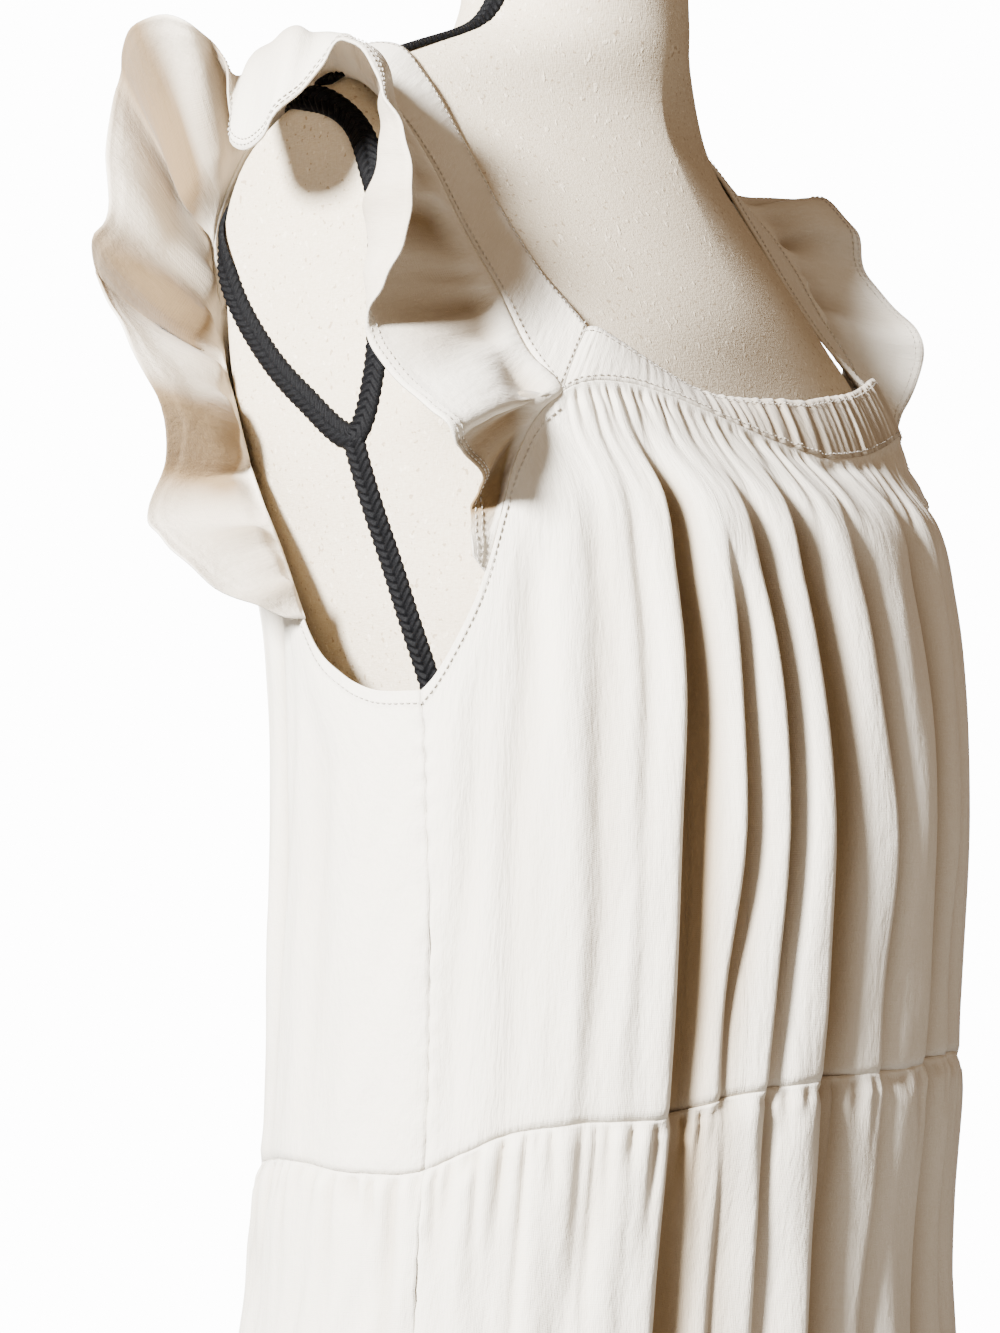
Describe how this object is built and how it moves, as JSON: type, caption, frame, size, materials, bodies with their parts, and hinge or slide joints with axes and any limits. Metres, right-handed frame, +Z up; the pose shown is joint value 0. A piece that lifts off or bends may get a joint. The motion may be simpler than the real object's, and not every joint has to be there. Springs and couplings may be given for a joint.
{
  "type": "tiered dress on a limbless dress form and stand",
  "caption": "Loose tiered dress with flutter sleeves and a gathered square neckline, worn by a canvas-covered limbless dress form on a pole with a round base.",
  "frame": {"origin": "on the floor, at the centre of the stand's base, under the pole", "axes": "+Z up, the dress faces -Y, and the wearer's right is -X"},
  "size_m": [0.5608, 0.4601, 1.47],
  "materials": {
    "ivory_cloth": "matt",
    "form_canvas": "matt",
    "black_gimp": "satin",
    "black_steel": "satin"
  },
  "bodies": {
    "root": {"front_panel": "ivory_cloth", "back_panel": "ivory_cloth", "front_neckband": "ivory_cloth", "back_neckband": "ivory_cloth", "strap_right": "ivory_cloth", "strap_left": "ivory_cloth", "ruffle_right": "ivory_cloth", "ruffle_left": "ivory_cloth", "upper_tier_front": "ivory_cloth", "upper_tier_back": "ivory_cloth", "lower_tier_front": "ivory_cloth", "lower_tier_back": "ivory_cloth", "form_torso": "form_canvas", "armhole_braid_right": "black_gimp", "armhole_braid_left": "black_gimp", "shoulder_braid_right": "black_gimp", "shoulder_braid_left": "black_gimp", "side_braid_right": "black_gimp", "side_braid_left": "black_gimp", "stand_pole": "black_steel", "stand_base": "black_steel"}
  },
  "joints": []
}
